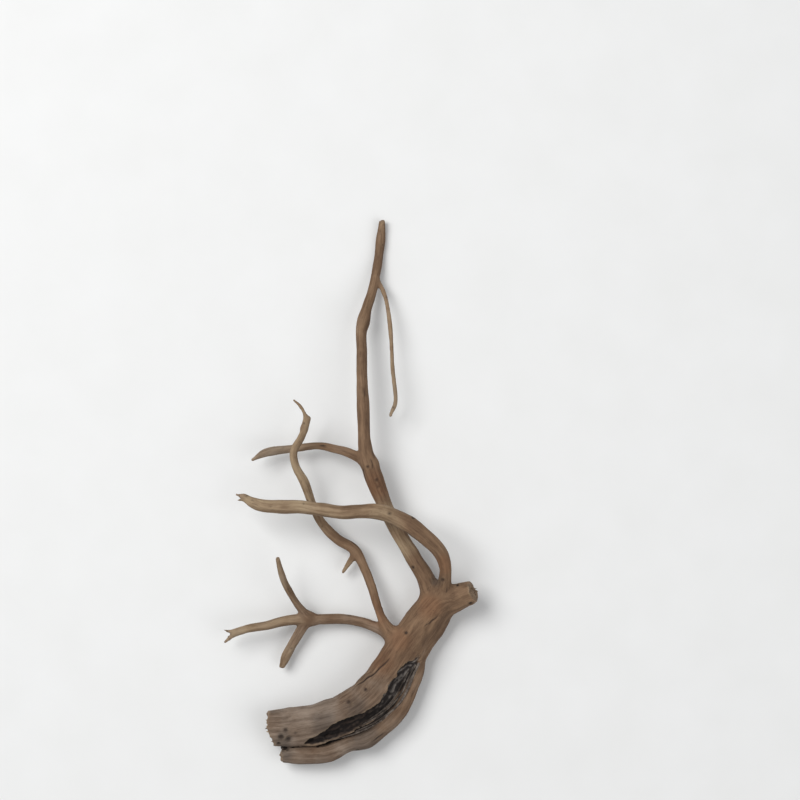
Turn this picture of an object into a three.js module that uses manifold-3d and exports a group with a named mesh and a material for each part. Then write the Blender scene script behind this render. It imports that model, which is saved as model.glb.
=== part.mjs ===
// A spiderwood root, lying down: a stout stump with a broken butt, from whose crown and flank wavy
// legs spread like a spider's, each tapering to a worn, pointed or split tip. It grew as one piece,
// so it is one solid. Millimetres, +Z up, the long leg pointing along +Y. The origin lies on the
// surface that the root rests on, under the middle of its outline.

import * as THREE from "three";
import { mergeVertices } from "three/addons/utils/BufferGeometryUtils.js";
import Module from "manifold-3d";

const wasm = await Module();
wasm.setup();

// Each strand of wood is given by points along its heart: [x, y, height above the surface, radius].
// The stump runs from its broken butt, past the crown where the legs part, to a short stub.
const STUMP = [
  [-33, -99.6, 7.7, 7.2], [-24.5, -99.2, 7.3, 7.7], [-13.2, -96.8, 8.6, 8.1], [-1.5, -93, 10, 8.4],
  [8.5, -85.5, 10.2, 8.3], [16.5, -75.5, 9.6, 8.4], [23.5, -65, 8.2, 8.4], [30.6, -55, 6.9, 8],
  [37, -47.5, 8.9, 7], [44, -44.5, 11.6, 5.4], [50, -42, 13.8, 4.4],
];
// A slimmer root has grown along the stump's low flank, with a dark cleft left between the two.
const FLANK_ROOT = [
  [-29.5, -111.2, 6.2, 2.9], [-22.5, -110.9, 6.8, 3.5], [-10.5, -110.3, 7.2, 3.7], [-1, -106.6, 7.4, 2.9],
  [6.5, -104.6, 7.6, 3.5], [13, -99.8, 7.4, 3.2], [20.5, -91.8, 7.2, 3.3], [24.8, -83, 7.2, 3],
  [28, -75, 7.4, 2.6], [29, -66, 8.2, 2.2],
];
// The floor of that cleft joins the two, and above it the stump's shoulder has rotted away in a hollow.
const CLEFT_FLOOR = [
  [-26, -107, 4.2, 3.2], [-11.5, -105.5, 4, 3.2], [0.5, -101.5, 4.1, 3.3], [12, -93.5, 4.4, 3.4],
  [20, -83, 5, 3.2], [25, -71, 6, 2.6],
];
const CLEFT_HOLLOW = [
  [-19, -105.2, 11.5, 0.9], [-14.8, -104, 12.6, 2.4], [-9.5, -102.4, 13.4, 4.1], [-3, -100.3, 13.8, 5.1],
  [3, -98.2, 14, 5.6], [10.4, -94.6, 13.6, 5.8], [17.2, -88.6, 13.6, 5.8], [20.6, -81.6, 14.1, 5.7],
  [24.6, -75.4, 14.4, 4.6], [28.8, -70.3, 14.8, 1.8],
];
// The long leg, with a swelling below its tip, comes down to the surface again far from the stump.
const LONG_LEG = [
  [34, -43, 9.5, 4.4], [30.5, -35, 11, 3.6], [25, -26, 12, 3.2], [19.5, -17, 12.5, 3],
  [13.5, -4.5, 12, 3.1], [8.5, 8, 13, 3.6], [5.7, 19, 14.4, 2.7], [5.2, 31, 15, 2.45],
  [4.5, 43.5, 14.6, 2.5], [4.4, 57, 13, 2.2], [4.2, 66, 11.2, 2.2], [5.2, 71.5, 9.6, 2.8],
  [6.5, 77, 7.8, 2.2], [9, 85.5, 5.2, 2.05], [11, 96.5, 2.4, 1.95], [12.2, 105.5, 1.7, 1.95],
  [12.8, 113.6, 2.6, 1.3],
];
const LONG_LEG_HAIR = [
  [10.3, 90, 4.4, 1], [13.2, 84.5, 5.2, 0.95], [15, 78, 7, 0.85], [16.6, 65.5, 9.2, 0.85],
  [17.4, 51, 10.8, 0.85], [18.6, 38.5, 11.4, 0.85], [16.6, 32.5, 11, 0.6],
];
const LONG_LEG_ARM = [
  [8, 12, 13, 2.7], [1, 15.3, 11.6, 2.1], [-5.5, 17.5, 9.6, 1.75], [-14, 19, 7.8, 1.55],
  [-23, 18.1, 7, 1.5], [-31, 17.2, 7.6, 1.7], [-36.5, 16.1, 8.6, 1.55], [-41, 13.6, 9.6, 0.7],
];
// The arched leg climbs steeply off the crown, bends over the long leg and ends split in two.
const ARCHED_LEG = [
  [37, -45.5, 10.5, 4.6], [38.8, -39, 15, 3], [39.3, -32, 19.5, 2.45], [37.2, -25.5, 23, 2.8],
  [32, -19.5, 25.3, 3.25], [25.5, -14, 26.5, 3.4], [18.7, -10.3, 26.5, 3.3], [12, -8, 25.6, 3.1],
  [4.5, -7.8, 24.6, 2.85], [-4, -8.4, 24, 2.75], [-12.5, -7.3, 23.3, 2.8], [-21, -6.1, 22.3, 2.7],
  [-29, -6.1, 20.8, 2.65], [-36.3, -5.9, 19.2, 2.45], [-41, -4.4, 18.2, 2.1], [-44.3, -2.6, 17.6, 1.5],
];
const ARCHED_LEG_SPLITS = [
  [[-41.5, -4.2, 18.2, 1.6], [-44.7, -2.1, 18, 1.2], [-47.3, -1.2, 18.4, 0.5]],
  [[-41.5, -4.2, 17.8, 1.5], [-44.3, -3.1, 17, 1.1], [-46.6, -3.4, 16.2, 0.5]],
];
// The wavy leg leaves the stump's near flank, dips under the arched leg and curls up to a point.
const WAVY_LEG = [
  [21, -62.5, 10, 3.8], [15.8, -57.8, 10.4, 2.4], [12.4, -52.5, 10, 1.8], [10.3, -46.5, 9.2, 1.7],
  [8.2, -39.5, 8.2, 1.85], [5.2, -32, 7.2, 1.9], [1, -24.5, 6.8, 2.3], [-5.7, -20.4, 7.2, 2.1],
  [-12, -14, 8.4, 1.8], [-16.2, -6, 10, 1.75], [-19.5, 3.5, 13, 1.85], [-23.2, 10.7, 15, 1.65],
  [-24, 17, 16.6, 1.6], [-20.8, 23, 18, 1.45], [-18.9, 28.4, 19.1, 1.3], [-19.4, 32.4, 20.2, 0.85],
  [-21, 35.6, 21.1, 0.65], [-23.4, 38, 22, 0.45],
];
const WAVY_LEG_TWIGS = [
  [[1.6, -26.2, 6.4, 1.4], [-0.8, -29.8, 5.6, 1.1], [-3.8, -34.4, 4.4, 0.6]],
  [[-19.8, 27.2, 18.7, 1.1], [-18.5, 29.6, 19.2, 1.15], [-17.5, 31, 19.5, 0.9]],
];
// The low leg leaves beside the wavy one, throws two forks half way along and ends split in two.
const LOW_LEG = [
  [18.5, -62, 9.2, 3.4], [12, -58, 7.8, 2.4], [4.5, -55.2, 6.3, 2.1], [-3.5, -53.8, 5.5, 2.1],
  [-12.5, -54, 5.6, 2.15], [-21, -54, 6.6, 2.15], [-29, -54.8, 8.2, 2], [-36, -56.5, 9.6, 1.95],
  [-43, -57.5, 10.4, 1.7], [-48.3, -59, 10.4, 1.4],
];
const LOW_LEG_FORKS = [
  [[-17, -54.4, 6.2, 2], [-22, -48.6, 8.4, 1.5], [-26, -42, 12, 1.45], [-28.9, -35, 16.5, 1.35],
    [-30.6, -27.5, 21, 0.8]],
  [[-18.3, -53.5, 6.2, 2.1], [-22.2, -59.8, 5.4, 2.05], [-25.4, -65.3, 4.6, 1.95], [-27.8, -70, 4.2, 1.8],
    [-29.3, -74, 4.4, 1.2]],
];
const LOW_LEG_SPLITS = [
  [[-46.5, -58.4, 10.4, 1.4], [-49.4, -58.9, 10.6, 1.05], [-51.8, -58.6, 11.2, 0.5]],
  [[-46.5, -58.6, 10.4, 1.3], [-49.8, -60.4, 10, 1.05], [-52.6, -62.8, 9.6, 0.5]],
];

// How closely the wood is ringed, and how many sides a ring has for the strand's largest radius.
const RING_SPACING = 3;
const SIDES = { base: 3, perMillimetre: 2.2, fewest: 6, most: 24 };

// Shallow flutes wind slowly along every strand, as waves round it: each has its lobes, its share of
// the depth as a height, and the angle of a crest. Together they leave one broad face and one ridge.
const FLUTES = [{ lobes: 2, height: 0.6, crest: 1.1 }, { lobes: 3, height: 0.4, crest: 1.1 }];
const FLUTE_TWIST = 0.008;
const LEG_FLUTE_DEPTH = 0.07;
const STUMP_FLUTE_DEPTH = 0.11;

// The butt broke off in steps and splinters, as waves round the break, and its middle is sunk.
const BUTT_WAVES = [
  { lobes: 1, height: 1.8, crest: -0.9 },
  { lobes: 3, height: 0.8, crest: -0.15 },
  { lobes: 7, height: 0.55, crest: 0.15 },
];
const BUTT_HOLLOW = 1.6;
// Every other end is worn to a low dome, this many of its radii high.
const TIP_DOME = 0.7;

// The surface under the root, as a slab that takes in the whole outline.
const SLAB_WIDTH = 400;
const SLAB_DEPTH = 20;
const UP = new THREE.Vector3(0, 0, 1);

// The height, at an angle round a strand, of several waves added together.
function waveHeight(waves, angle) {
  return waves.reduce((sum, wave) => sum + wave.height * Math.cos(wave.lobes * (angle - wave.crest)), 0);
}

// A strand's radius, waved by the flutes at an angle round it and a distance along it.
function fluted(radius, angle, distance, depth) {
  return radius * (1 + depth * waveHeight(FLUTES, angle - FLUTE_TWIST * distance));
}

// A closed cylinder is bent along the strand's heart: its height becomes the way along the curve, its
// round becomes rings square to the curve, and angle 0 of a ring is its top. Only the stump has a
// broken butt.
function strandGeometry(points, isStump = false) {
  const heart = new THREE.CatmullRomCurve3(
    points.map(([x, y, z]) => new THREE.Vector3(x, y, z)), false, "catmullrom");
  const girth = new THREE.CatmullRomCurve3(
    points.map((point) => new THREE.Vector3(point[3], 0, 0)), false, "catmullrom");
  const thickest = Math.max(...points.map((point) => point[3]));
  const length = heart.getLength();
  const sides = THREE.MathUtils.clamp(
    Math.round(SIDES.base + SIDES.perMillimetre * thickest), SIDES.fewest, SIDES.most);
  const rings = Math.ceil(length / RING_SPACING);
  const geometry = new THREE.CylinderGeometry(1, 1, 1, sides, rings);
  const position = geometry.attributes.position;
  const fluteDepth = isStump ? STUMP_FLUTE_DEPTH : LEG_FLUTE_DEPTH;

  for (let index = 0; index < position.count; index += 1) {
    const across = position.getX(index);
    const above = position.getZ(index);
    const share = position.getY(index) + 0.5;
    const angle = Math.atan2(across, above);
    const along = heart.getTangent(share);
    const aside = new THREE.Vector3().crossVectors(along, UP).normalize();
    const lift = new THREE.Vector3().crossVectors(aside, along);

    const radius = fluted(girth.getPoint(share).x, angle, share * length, fluteDepth);
    const point = heart.getPoint(share);
    const onSkin = Math.hypot(across, above) > 0.5;
    const ring = Math.round(share * rings);
    if (isStump && ring === 0) {
      point.addScaledVector(along, onSkin ? -waveHeight(BUTT_WAVES, angle) : BUTT_HOLLOW);
    }
    if (ring === rings && !onSkin) point.addScaledVector(along, TIP_DOME * radius);
    point.addScaledVector(aside, across * radius).addScaledVector(lift, above * radius);
    position.setXYZ(index, point.x, point.y, point.z);
  }
  return geometry;
}

// A solid for joining and cutting, from a geometry whose vertices are shared by position alone.
function toSolid(geometry) {
  geometry.deleteAttribute("normal");
  geometry.deleteAttribute("uv");
  const merged = mergeVertices(geometry);
  return new wasm.Manifold(new wasm.Mesh({
    numProp: 3,
    vertProperties: new Float32Array(merged.attributes.position.array),
    triVerts: new Uint32Array(merged.index.array),
  }));
}

function toGeometry(solid) {
  const mesh = solid.getMesh();
  const geometry = new THREE.BufferGeometry();
  geometry.setAttribute("position", new THREE.BufferAttribute(mesh.vertProperties, 3));
  geometry.setIndex(new THREE.BufferAttribute(mesh.triVerts, 1));
  geometry.computeVertexNormals();
  return geometry;
}

const LEGS = [
  FLANK_ROOT, CLEFT_FLOOR, LONG_LEG, LONG_LEG_HAIR, LONG_LEG_ARM, ARCHED_LEG, ...ARCHED_LEG_SPLITS,
  WAVY_LEG, ...WAVY_LEG_TWIGS, LOW_LEG, ...LOW_LEG_FORKS, ...LOW_LEG_SPLITS,
];

// The stump is hollowed at the cleft, the other strands are grown onto it, and where they press on the
// surface they are worn flat.
function growRoot() {
  let root = toSolid(strandGeometry(STUMP, true)).subtract(toSolid(strandGeometry(CLEFT_HOLLOW)));
  for (const leg of LEGS) {
    root = root.add(toSolid(strandGeometry(leg)));
  }
  const slab = new THREE.BoxGeometry(SLAB_WIDTH, SLAB_WIDTH, SLAB_DEPTH);
  slab.translate(0, 0, -SLAB_DEPTH / 2);
  return toGeometry(root.subtract(toSolid(slab)));
}

const wood = new THREE.MeshStandardMaterial({ color: 0x7f6549, roughness: 0.85, metalness: 0 });
const root = new THREE.Mesh(growRoot(), wood);
root.name = "spiderwood_root";

const part = new THREE.Group();
part.name = "spiderwood";
part.add(root);

export default part;
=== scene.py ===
# %% [markdown]
# # A spiderwood root, lying down
# Spiderwood is the dried root of a moorland shrub: a stout stump from which wavy legs spread. The packed
# model says where every leg runs and how thick it is. This lesson grows a finer skin on the same hearts
# of wood, with soft crotches, grain, cracks, twig scars, a torn butt and weathered colours, all by numpy.

# %% Load the packed model and keep its box
from types import SimpleNamespace

import bpy
import numpy as np
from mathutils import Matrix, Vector


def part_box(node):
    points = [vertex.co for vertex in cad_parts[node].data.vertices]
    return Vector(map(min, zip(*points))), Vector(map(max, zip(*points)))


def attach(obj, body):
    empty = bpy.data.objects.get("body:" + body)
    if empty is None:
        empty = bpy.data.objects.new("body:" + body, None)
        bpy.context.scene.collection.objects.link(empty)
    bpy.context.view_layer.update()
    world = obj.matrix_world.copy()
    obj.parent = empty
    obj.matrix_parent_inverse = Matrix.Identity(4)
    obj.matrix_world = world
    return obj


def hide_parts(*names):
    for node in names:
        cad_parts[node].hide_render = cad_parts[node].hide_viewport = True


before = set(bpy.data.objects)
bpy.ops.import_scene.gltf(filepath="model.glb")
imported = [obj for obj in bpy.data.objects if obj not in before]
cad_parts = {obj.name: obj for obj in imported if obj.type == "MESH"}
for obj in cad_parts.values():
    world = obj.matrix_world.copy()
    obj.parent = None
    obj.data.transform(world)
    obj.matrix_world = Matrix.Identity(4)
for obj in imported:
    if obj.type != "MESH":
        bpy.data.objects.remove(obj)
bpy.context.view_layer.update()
MM = 0.001


# %% [markdown]
# ## The camera
# The photograph looks straight down from well above. A long lens far away keeps the tall arched leg from
# swelling towards the viewer. A pixel is 0.42 mm at the height of the wood, and the frame's origin shows
# at a known pixel, which together fix the camera.

# %% Camera
PIXEL = 0.42 * MM
PICTURE_SIDE = 800
ORIGIN_PIXEL = (351.5, 491.5)
WOOD_HEIGHT = 10 * MM
SIGHT_DISTANCE = 1.3

scene = bpy.context.scene
camera_data = bpy.data.cameras.new("overhead_camera")
camera_data.lens = camera_data.sensor_width * SIGHT_DISTANCE / (PICTURE_SIDE * PIXEL)
camera = bpy.data.objects.new("overhead_camera", camera_data)
camera.location = (
    (PICTURE_SIDE / 2 - ORIGIN_PIXEL[0]) * PIXEL,
    (ORIGIN_PIXEL[1] - PICTURE_SIDE / 2) * PIXEL,
    WOOD_HEIGHT + SIGHT_DISTANCE,
)
scene.collection.objects.link(camera)
scene.camera = camera
print(f"lens {camera_data.lens:.1f} mm")

# %% [markdown]
# ## Shader sums in Python
# A node tree reads better as a sum than as a list of links. `Wire` wraps a socket, and each operator on
# it adds a Math node. `Finish` is a material being built: `node` adds any other node from its type, its
# settings and the values or links of its sockets, and short methods call it for the common kinds.

# %% Wires
def linear(red, green, blue):
    """A screen colour from 0 to 255 as light: the power curve of a screen undone."""
    share = np.array([red, green, blue]) / 255
    light = np.where(share < 0.04045, share / 12.92, ((share + 0.055) / 1.055) ** 2.4)
    return (*light.tolist(), 1.0)


def put(tree, socket, value):
    """Links a wire to a socket, or sets the socket to a plain value."""
    if isinstance(value, Wire):
        tree.links.new(value.socket, socket)
    else:
        socket.default_value = value


class Wire:
    """A socket that can stand in a sum: each operator adds a Math node and gives its result."""

    def __init__(self, tree, socket):
        self.tree = tree
        self.socket = socket

    def math(self, operation, first, second):
        node = self.tree.nodes.new("ShaderNodeMath")
        node.operation = operation
        put(self.tree, node.inputs[0], first)
        put(self.tree, node.inputs[1], second)
        return Wire(self.tree, node.outputs[0])

    def __add__(self, other):
        return self.math("ADD", self, other)

    def __radd__(self, other):
        return self.math("ADD", other, self)

    def __sub__(self, other):
        return self.math("SUBTRACT", self, other)

    def __rsub__(self, other):
        return self.math("SUBTRACT", other, self)

    def __mul__(self, other):
        return self.math("MULTIPLY", self, other)

    def __rmul__(self, other):
        return self.math("MULTIPLY", other, self)


print("brown as light:", [round(part, 3) for part in linear(108, 88, 70)])

# %% Finishes
class Finish:
    """A material under construction, with its Principled shader as `shader`."""

    def __init__(self, name):
        self.material = bpy.data.materials.new(name)
        self.material.use_nodes = True
        self.tree = self.material.node_tree
        self.shader = self.tree.nodes["Principled BSDF"]

    def fill(self, node, sockets):
        """Sets or links a node's sockets, each named by its identifier."""
        by_name = {socket.identifier: socket for socket in node.inputs}
        for key, value in sockets.items():
            put(self.tree, by_name[key], value)

    def node(self, kind, settings=None, sockets=None, output=None):
        """Adds a node, sets it up, fills its sockets, and gives the output named, or else the first."""
        node = self.tree.nodes.new(kind)
        for key, value in (settings or {}).items():
            setattr(node, key, value)
        self.fill(node, sockets or {})
        by_name = {socket.identifier: socket for socket in node.outputs}
        return Wire(self.tree, by_name[output] if output else node.outputs[0])

    def mask(self, name):
        """A number that the mesh carries at each of its points."""
        return self.node("ShaderNodeAttribute", {"attribute_name": name}, output="Fac")

    def mix(self, share, first, second):
        """The first colour going over to the second by a share from 0 to 1."""
        sockets = {"Factor_Float": share, "A_Color": first, "B_Color": second}
        return self.node("ShaderNodeMix", {"data_type": "RGBA"}, sockets, output="Result_Color")

    def between(self, share, ends):
        """A colour between two screen colours, a dark one and a light one."""
        dark, light = ends
        return self.mix(share, linear(*dark), linear(*light))

    def stretch(self, places, scale):
        """Places multiplied side by side by a scale, so a pattern is drawn out along one of them."""
        sockets = {"Vector": places, "Vector_001": scale}
        return self.node("ShaderNodeVectorMath", {"operation": "MULTIPLY"}, sockets)

    def noise(self, places, detail, roughness):
        """Cloudy noise from 0 to 1 with cells of one unit of the places."""
        sockets = {"Vector": places, "Scale": 1.0, "Detail": detail, "Roughness": roughness}
        return self.node("ShaderNodeTexNoise", None, sockets)

    def cloud(self, cells, detail, roughness):
        """Noise in the piece's own coordinates, with so many cells to the metre."""
        places = self.node("ShaderNodeTexCoord", output="Object")
        return self.noise(self.stretch(places, (cells,) * 3), detail, roughness)

    def ramp(self, value, low, high):
        """0 below the low value, 1 above the high one, and an even s-curve between them."""
        sockets = {"Value": value, "From Min": low, "From Max": high}
        return self.node("ShaderNodeMapRange", {"interpolation_type": "SMOOTHSTEP"}, sockets)

    def done(self, colour, roughness, shine=0.3, relief=None):
        """Fills the shader and gives the material; relief is a strength, a depth and a height."""
        sockets = {"Base Color": colour, "Roughness": roughness, "Specular IOR Level": shine}
        if relief:
            bump = dict(zip(("Strength", "Distance", "Height"), relief))
            sockets["Normal"] = self.node("ShaderNodeBump", None, bump)
        self.fill(self.shader, sockets)
        return self.material


print("short methods:", [name for name in vars(Finish) if "__" not in name])

# %% [markdown]
# ## Floor and light
# The root lies on a pale floor under soft light. A sky picture could light it, but lamps keep the scene
# in one file. A broad one high on the left shapes the legs, a weaker one on the right keeps their shadow
# sides readable, and a pale sky fills the rest. The plain view transform shows a colour as it is mixed.

# %% Floor and light
FLOOR_SIDE = 8.0
FLOOR_DROP = 0.05 * MM
FLOOR_TONES = (219, 219, 217), (225, 225, 224)
SKY_COLOUR = (244, 246, 250)
SKY_STRENGTH = 0.42


def pale_floor():
    """A wide square just under the wood, with a faint mottle so that it isn't one flat tone."""
    corners = FLOOR_SIDE / 2 * np.array([[-1, -1, 0], [1, -1, 0], [1, 1, 0], [-1, 1, 0]])
    corners[:, 2] = -FLOOR_DROP
    mesh = bpy.data.meshes.new("pale_floor")
    mesh.from_pydata(corners.tolist(), [], [(0, 1, 2, 3)])
    finish = Finish("pale_paper")
    colour = finish.between(finish.cloud(40, 3, 0.5), FLOOR_TONES)
    mesh.materials.append(finish.done(colour, roughness=0.9, shine=0.2))
    floor = bpy.data.objects.new("pale_floor", mesh)
    scene.collection.objects.link(floor)


def soft_lamp(name, place, size, power):
    """A square lamp that faces the root."""
    lamp = bpy.data.lights.new(name, "AREA")
    lamp.size = size
    lamp.energy = power
    holder = bpy.data.objects.new(name, lamp)
    holder.location = place
    holder.rotation_euler = (-Vector(place)).to_track_quat("-Z", "Y").to_euler()
    scene.collection.objects.link(holder)


pale_floor()
soft_lamp("key_lamp", (-0.75, 0.55, 1.25), size=0.9, power=20.5)
soft_lamp("fill_lamp", (0.95, -0.45, 1.1), size=1.2, power=7)
scene.world = bpy.data.worlds.new("pale_sky")
scene.world.use_nodes = True
sky = scene.world.node_tree.nodes["Background"]
sky.inputs["Color"].default_value = linear(*SKY_COLOUR)
sky.inputs["Strength"].default_value = SKY_STRENGTH
scene.view_settings.view_transform = "Standard"
print("lamps:", [lamp.name for lamp in bpy.data.lights])

# %% [markdown]
# ## The hearts of the strands
# Each leg is a strand of wood, drawn by points along its heart: x, y, height and radius in millimetres,
# the same points that the solid is built on. A drawn curve could carry them too, but plain lists keep
# the sizes in sight.

# %% Stump, flank root and the floor of the cleft
STUMP = [
    [-33, -99.6, 7.7, 7.2], [-24.5, -99.2, 7.3, 7.7], [-13.2, -96.8, 8.6, 8.1], [-1.5, -93, 10, 8.4],
    [8.5, -85.5, 10.2, 8.3], [16.5, -75.5, 9.6, 8.4], [23.5, -65, 8.2, 8.4], [30.6, -55, 6.9, 8],
    [37, -47.5, 8.9, 7], [44, -44.5, 11.6, 5.4], [50, -42, 13.8, 4.4],
]
FLANK_ROOT = [
    [-29.5, -111.2, 6.2, 2.9], [-22.5, -110.9, 6.8, 3.5], [-10.5, -110.3, 7.2, 3.7],
    [-1, -106.6, 7.4, 2.9], [6.5, -104.6, 7.6, 3.5], [13, -99.8, 7.4, 3.2], [20.5, -91.8, 7.2, 3.3],
    [24.8, -83, 7.2, 3], [28, -75, 7.4, 2.6], [29, -66, 8.2, 2.2],
]
CLEFT_FLOOR = [
    [-26, -107, 4.2, 3.2], [-11.5, -105.5, 4, 3.2], [0.5, -101.5, 4.1, 3.3], [12, -93.5, 4.4, 3.4],
    [20, -83, 5, 3.2], [25, -71, 6, 2.6],
]
CLEFT_HOLLOW = [
    [-19, -105.2, 11.5, 0.9], [-14.8, -104, 12.6, 2.4], [-9.5, -102.4, 13.4, 4.1], [-3, -100.3, 13.8, 5.1],
    [3, -98.2, 14, 5.6], [10.4, -94.6, 13.6, 5.8], [17.2, -88.6, 13.6, 5.8], [20.6, -81.6, 14.1, 5.7],
    [24.6, -75.4, 14.4, 4.6], [28.8, -70.3, 14.8, 1.8],
]
print("stump from", STUMP[0][:3], "to", STUMP[-1][:3])

# %% The long leg and the arched leg
LONG_LEG = [
    [34, -43, 9.5, 4.4], [30.5, -35, 11, 3.6], [25, -26, 12, 3.2], [19.5, -17, 12.5, 3],
    [13.5, -4.5, 12, 3.1], [8.5, 8, 13, 3.6], [5.7, 19, 14.4, 2.7], [5.2, 31, 15, 2.45],
    [4.5, 43.5, 14.6, 2.5], [4.4, 57, 13, 2.2], [4.2, 66, 11.2, 2.2], [5.2, 71.5, 9.6, 2.8],
    [6.5, 77, 7.8, 2.2], [9, 85.5, 5.2, 2.05], [11, 96.5, 2.4, 1.95], [12.2, 105.5, 1.7, 1.95],
    [12.8, 113.6, 2.6, 1.3],
]
LONG_LEG_HAIR = [
    [10.3, 90, 4.4, 1], [13.2, 84.5, 5.2, 0.95], [15, 78, 7, 0.85], [16.6, 65.5, 9.2, 0.85],
    [17.4, 51, 10.8, 0.85], [18.6, 38.5, 11.4, 0.85], [16.6, 32.5, 11, 0.6],
]
LONG_LEG_ARM = [
    [8, 12, 13, 2.7], [1, 15.3, 11.6, 2.1], [-5.5, 17.5, 9.6, 1.75], [-14, 19, 7.8, 1.55],
    [-23, 18.1, 7, 1.5], [-31, 17.2, 7.6, 1.7], [-36.5, 16.1, 8.6, 1.55], [-41, 13.6, 9.6, 0.7],
]
ARCHED_LEG = [
    [37, -45.5, 10.5, 4.6], [38.8, -39, 15, 3], [39.3, -32, 19.5, 2.45], [37.2, -25.5, 23, 2.8],
    [32, -19.5, 25.3, 3.25], [25.5, -14, 26.5, 3.4], [18.7, -10.3, 26.5, 3.3], [12, -8, 25.6, 3.1],
    [4.5, -7.8, 24.6, 2.85], [-4, -8.4, 24, 2.75], [-12.5, -7.3, 23.3, 2.8], [-21, -6.1, 22.3, 2.7],
    [-29, -6.1, 20.8, 2.65], [-36.3, -5.9, 19.2, 2.45], [-41, -4.4, 18.2, 2.1], [-44.3, -2.6, 17.6, 1.5],
]
ARCHED_LEG_SPLITS = [
    [[-41.5, -4.2, 18.2, 1.6], [-44.7, -2.1, 18, 1.2], [-47.3, -1.2, 18.4, 0.5]],
    [[-41.5, -4.2, 17.8, 1.5], [-44.3, -3.1, 17, 1.1], [-46.6, -3.4, 16.2, 0.5]],
]
print("long leg:", len(LONG_LEG), "points; arched leg:", len(ARCHED_LEG), "points")

# %% The wavy leg and the low leg
WAVY_LEG = [
    [21, -62.5, 10, 3.8], [15.8, -57.8, 10.4, 2.4], [12.4, -52.5, 10, 1.8], [10.3, -46.5, 9.2, 1.7],
    [8.2, -39.5, 8.2, 1.85], [5.2, -32, 7.2, 1.9], [1, -24.5, 6.8, 2.3], [-5.7, -20.4, 7.2, 2.1],
    [-12, -14, 8.4, 1.8], [-16.2, -6, 10, 1.75], [-19.5, 3.5, 13, 1.85], [-23.2, 10.7, 15, 1.65],
    [-24, 17, 16.6, 1.6], [-20.8, 23, 18, 1.45], [-18.9, 28.4, 19.1, 1.3], [-19.4, 32.4, 20.2, 0.85],
    [-21, 35.6, 21.1, 0.65], [-23.4, 38, 22, 0.45],
]
WAVY_LEG_TWIGS = [
    [[1.6, -26.2, 6.4, 1.4], [-0.8, -29.8, 5.6, 1.1], [-3.8, -34.4, 4.4, 0.6]],
    [[-19.8, 27.2, 18.7, 1.1], [-18.5, 29.6, 19.2, 1.15], [-17.5, 31, 19.5, 0.9]],
]
LOW_LEG = [
    [18.5, -62, 9.2, 3.4], [12, -58, 7.8, 2.4], [4.5, -55.2, 6.3, 2.1], [-3.5, -53.8, 5.5, 2.1],
    [-12.5, -54, 5.6, 2.15], [-21, -54, 6.6, 2.15], [-29, -54.8, 8.2, 2], [-36, -56.5, 9.6, 1.95],
    [-43, -57.5, 10.4, 1.7], [-48.3, -59, 10.4, 1.4],
]
LOW_LEG_FORKS = [
    [[-17, -54.4, 6.2, 2], [-22, -48.6, 8.4, 1.5], [-26, -42, 12, 1.45], [-28.9, -35, 16.5, 1.35],
     [-30.6, -27.5, 21, 0.8]],
    [[-18.3, -53.5, 6.2, 2.1], [-22.2, -59.8, 5.4, 2.05], [-25.4, -65.3, 4.6, 1.95],
     [-27.8, -70, 4.2, 1.8], [-29.3, -74, 4.4, 1.2]],
]
LOW_LEG_SPLITS = [
    [[-46.5, -58.4, 10.4, 1.4], [-49.4, -58.9, 10.6, 1.05], [-51.8, -58.6, 11.2, 0.5]],
    [[-46.5, -58.6, 10.4, 1.3], [-49.8, -60.4, 10, 1.05], [-52.6, -62.8, 9.6, 0.5]],
]
print("wavy leg:", len(WAVY_LEG), "points; low leg:", len(LOW_LEG), "points")

# %% [markdown]
# ## A smooth heart with rings round it
# A Catmull-Rom curve passes through every point and bends gently between them. It is walked at even
# steps, each with a small frame: along the strand, aside and lifted. Angle zero of a ring is its top,
# and a quarter turn is the right-hand side of the way along.

# %% Smooth hearts
HEART_STEP = 0.6
FINE_STEPS = 40
UP = np.array([0.0, 0.0, 1.0])


def curve_through(points, shares):
    """Places on a smooth curve: between two points, the cubic whose slope at each is half the way from
    the point before it to the point after it. Share 1.5 is half way from point 1 to point 2."""
    padded = np.vstack([2 * points[0] - points[1], points, 2 * points[-1] - points[-2]])
    span = np.clip(shares.astype(int), 0, len(points) - 2)
    part = (shares - span)[:, None]
    first, second, third, fourth = (padded[span + shift] for shift in range(4))
    slope = third - first
    bend = 2 * first - 5 * second + 4 * third - fourth
    twist = 3 * (second - third) + fourth - first
    return second + 0.5 * part * (slope + part * (bend + part * twist))


def unit(vectors):
    """Vectors scaled to length one."""
    return vectors / np.linalg.norm(vectors, axis=-1, keepdims=True)


def heart_of(points, lead=0.0, tail=0.0):
    """A strand walked at even steps, drawn out straight by a lead before it and a tail after it, with
    the way along it, the two directions across it, its radius and the distance from its first point."""
    points = np.array(points, float)
    fine = curve_through(points, np.linspace(0, len(points) - 1, FINE_STEPS * len(points)))
    run = np.concatenate([[0], np.cumsum(np.linalg.norm(np.diff(fine[:, :3], axis=0), axis=1))])
    steps = np.linspace(0, run[-1], int(run[-1] / HEART_STEP) + 1)
    even = np.stack([np.interp(steps, run, column) for column in fine.T], 1)
    along = unit(np.gradient(even[:, :3], axis=0))
    before = np.arange(-lead, 0, HEART_STEP)
    after = np.arange(HEART_STEP, tail + HEART_STEP / 2, HEART_STEP)
    distance = np.concatenate([before, steps, run[-1] + after])
    heart = np.vstack([
        even[0, :3] + before[:, None] * along[0], even[:, :3], even[-1, :3] + after[:, None] * along[-1]])
    along = np.vstack([np.tile(along[0], (len(before), 1)), along, np.tile(along[-1], (len(after), 1))])
    radius = np.interp(distance, steps, even[:, 3])
    aside = unit(np.cross(along, UP))
    return SimpleNamespace(
        heart=heart, along=along, aside=aside, lift=np.cross(aside, along), radius=radius,
        distance=distance, length=run[-1])


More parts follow.
